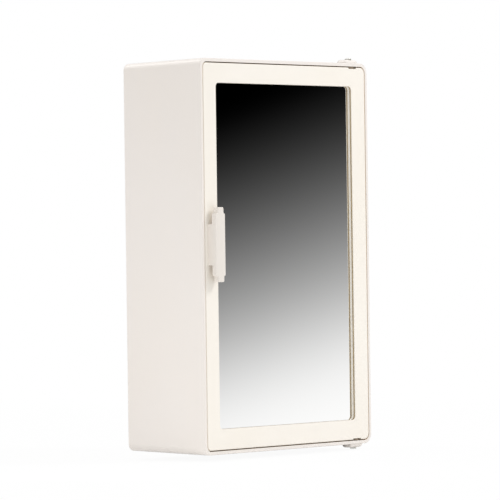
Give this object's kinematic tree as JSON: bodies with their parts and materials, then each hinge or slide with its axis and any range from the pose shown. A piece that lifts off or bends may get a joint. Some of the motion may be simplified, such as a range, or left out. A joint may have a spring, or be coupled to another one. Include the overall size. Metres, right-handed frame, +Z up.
{
  "type": "bathroom mirror cabinet",
  "caption": "Wall-hung bathroom cabinet: a moulded open-fronted box with lipped shelves, and a framed mirror door on pin hinges with a T-shaped pull and a magnetic catch.",
  "frame": {"origin": "middle of the back face, on the wall", "axes": "+X to the right seen from the front, +Y into the wall, +Z up"},
  "size_m": [0.254, 0.1008, 0.3648],
  "materials": {
    "shell_plastic": "moulded, satin gloss, warm white",
    "frame_plastic": "moulded, satin gloss, ivory white",
    "handle_plastic": "moulded, satin gloss, ivory white",
    "shelf_plastic": "moulded, satin gloss, white",
    "silvered_glass": "silvered, ground edge",
    "foam": "open-cell foam strip, grey",
    "panel_board": "extruded sheet, fine matt texture, white",
    "zinc_steel": "bright zinc plate",
    "strike_steel": "bare steel, brushed",
    "ferrite": "pressed ferrite, dark grey",
    "catch_plastic": "moulded, matt, white",
    "bush_plastic": "nylon, dark brown",
    "bumper_rubber": "soft, pale grey"
  },
  "bodies": {
    "cabinet": {"cabinet_shell": "shell_plastic", "shelf_upper": "shelf_plastic", "shelf_lower": "shelf_plastic", "hinge_pin_top": "zinc_steel", "hinge_pin_bottom": "zinc_steel", "catch_housing": "catch_plastic", "catch_magnet": "ferrite", "catch_poles": "strike_steel", "catch_screws": "zinc_steel"},
    "door": {"door_frame": "frame_plastic", "mirror_glass": "silvered_glass", "mirror_pads": "foam", "door_back_panel": "panel_board", "panel_screws": "zinc_steel", "door_handle": "handle_plastic", "handle_screws": "zinc_steel", "strike_plate": "strike_steel", "strike_screws": "zinc_steel", "door_bumpers": "bumper_rubber", "hinge_bush_top": "bush_plastic", "hinge_bush_bottom": "bush_plastic"}
  },
  "joints": [
    {"name": "door_hinge", "type": "hinge", "parent": "cabinet", "child": "door", "pos_m": [0.104, -0.0858, 0], "axis": [0, 0, 1], "range_deg": [0, 120]}
  ]
}
